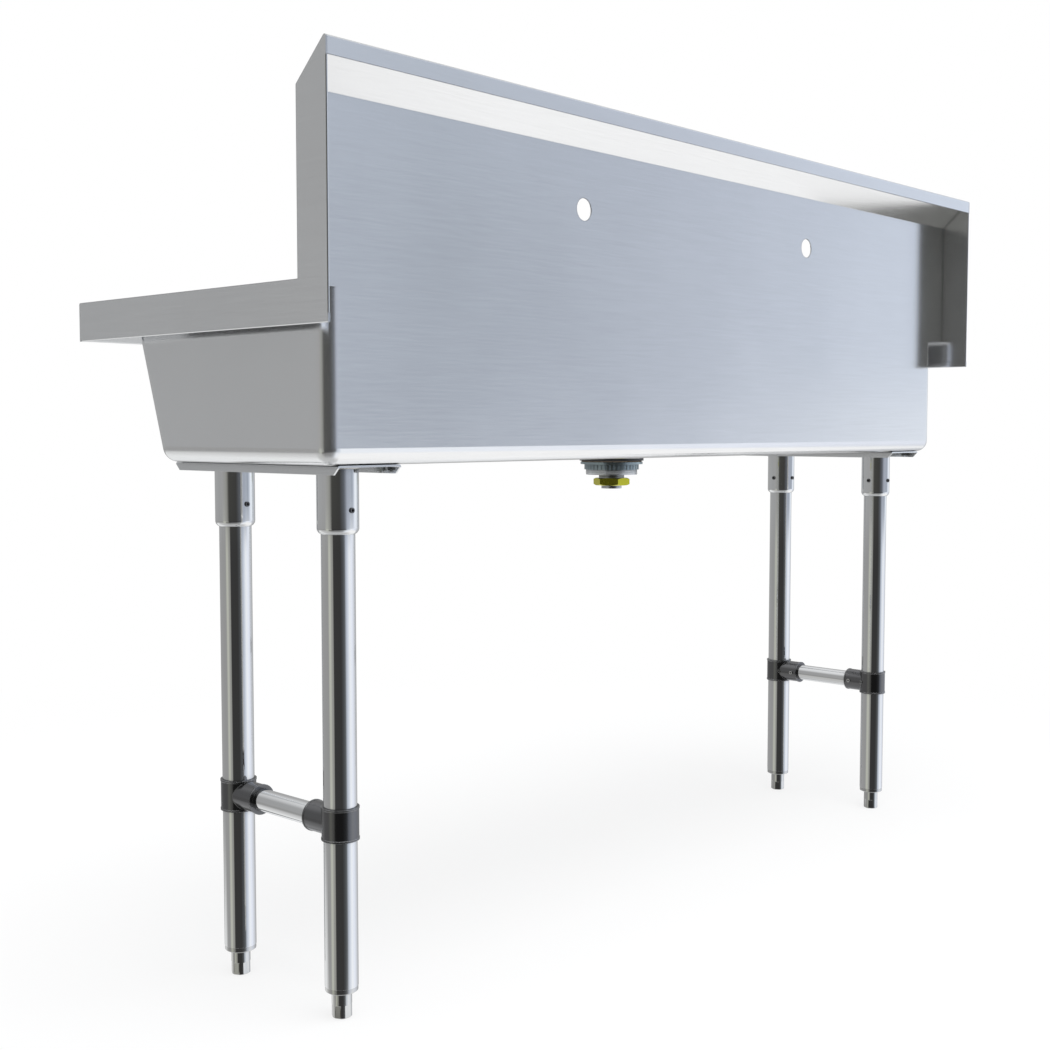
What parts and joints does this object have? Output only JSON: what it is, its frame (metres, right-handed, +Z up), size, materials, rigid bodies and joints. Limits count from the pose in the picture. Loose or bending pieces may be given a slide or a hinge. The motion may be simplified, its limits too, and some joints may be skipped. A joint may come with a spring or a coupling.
{
  "type": "commercial wash-up sink",
  "caption": "Free-standing stainless wash-up sink with one long radiused bowl, high splash with tap holes, tube legs, cross rails, adjustable feet and a basket strainer.",
  "frame": {"origin": "on the floor, under the middle of the sink's length and depth", "axes": "+X along the sink towards the user's right, -Y towards the user, +Z up"},
  "size_m": [1.524, 0.508, 1.135],
  "materials": {
    "sheet_steel": "satin sheet, fine grain",
    "channel_steel": "plain formed sheet",
    "nut_zinc": "zinc plated",
    "socket_steel": "smooth satin",
    "screw_steel": "machined",
    "tube_steel": "polished tube",
    "tee_casting": "dark satin casting",
    "foot_steel": "turned and milled",
    "strainer_steel": "polished pressing",
    "gasket_rubber": "matte rubber",
    "fibre": "pressed fibre",
    "locknut_zinc": "bluish zinc die casting",
    "brass": "plain brass"
  },
  "bodies": {
    "sink": {"bowl": "sheet_steel", "deck": "sheet_steel", "backsplash": "sheet_steel", "end_panel_left": "sheet_steel", "end_panel_right": "sheet_steel", "leg_channel_left": "channel_steel", "leg_channel_right": "channel_steel", "channel_studs": "channel_steel", "channel_nuts": "nut_zinc", "leg_socket_front_left": "socket_steel", "leg_socket_front_right": "socket_steel", "leg_socket_rear_left": "socket_steel", "leg_socket_rear_right": "socket_steel", "socket_screws_left": "screw_steel", "socket_screws_right": "screw_steel", "tee_screws_left": "screw_steel", "tee_screws_right": "screw_steel", "leg_tube_front_left": "tube_steel", "leg_tube_front_right": "tube_steel", "leg_tube_rear_left": "tube_steel", "leg_tube_rear_right": "tube_steel", "cross_rail_left": "tube_steel", "cross_rail_right": "tube_steel", "tee_front_left": "tee_casting", "tee_front_right": "tee_casting", "tee_rear_left": "tee_casting", "tee_rear_right": "tee_casting", "foot_insert_front_left": "foot_steel", "foot_insert_front_right": "foot_steel", "foot_insert_rear_left": "foot_steel", "foot_insert_rear_right": "foot_steel", "strainer_body": "strainer_steel", "tail_stub": "strainer_steel", "strainer_gasket": "gasket_rubber", "tail_washer": "gasket_rubber", "fibre_ring": "fibre", "locknut": "locknut_zinc", "coupling_nut": "brass"},
    "foot_front_left": {"foot_front_left": "foot_steel"},
    "foot_front_right": {"foot_front_right": "foot_steel"},
    "foot_rear_left": {"foot_rear_left": "foot_steel"},
    "foot_rear_right": {"foot_rear_right": "foot_steel"},
    "basket": {"basket_cup": "strainer_steel", "basket_stopper": "gasket_rubber", "basket_post": "strainer_steel"}
  },
  "joints": [
    {"name": "foot_front_left_screw", "type": "slide", "parent": "sink", "child": "foot_front_left", "axis": [0, 0, 1], "range_m": [-0.02, 0]},
    {"name": "foot_front_right_screw", "type": "slide", "parent": "sink", "child": "foot_front_right", "axis": [0, 0, 1], "range_m": [-0.02, 0]},
    {"name": "foot_rear_left_screw", "type": "slide", "parent": "sink", "child": "foot_rear_left", "axis": [0, 0, 1], "range_m": [-0.02, 0]},
    {"name": "foot_rear_right_screw", "type": "slide", "parent": "sink", "child": "foot_rear_right", "axis": [0, 0, 1], "range_m": [-0.02, 0]},
    {"name": "basket_lift", "type": "slide", "parent": "sink", "child": "basket", "axis": [0, 0, 1], "range_m": [0, 0.05]}
  ]
}
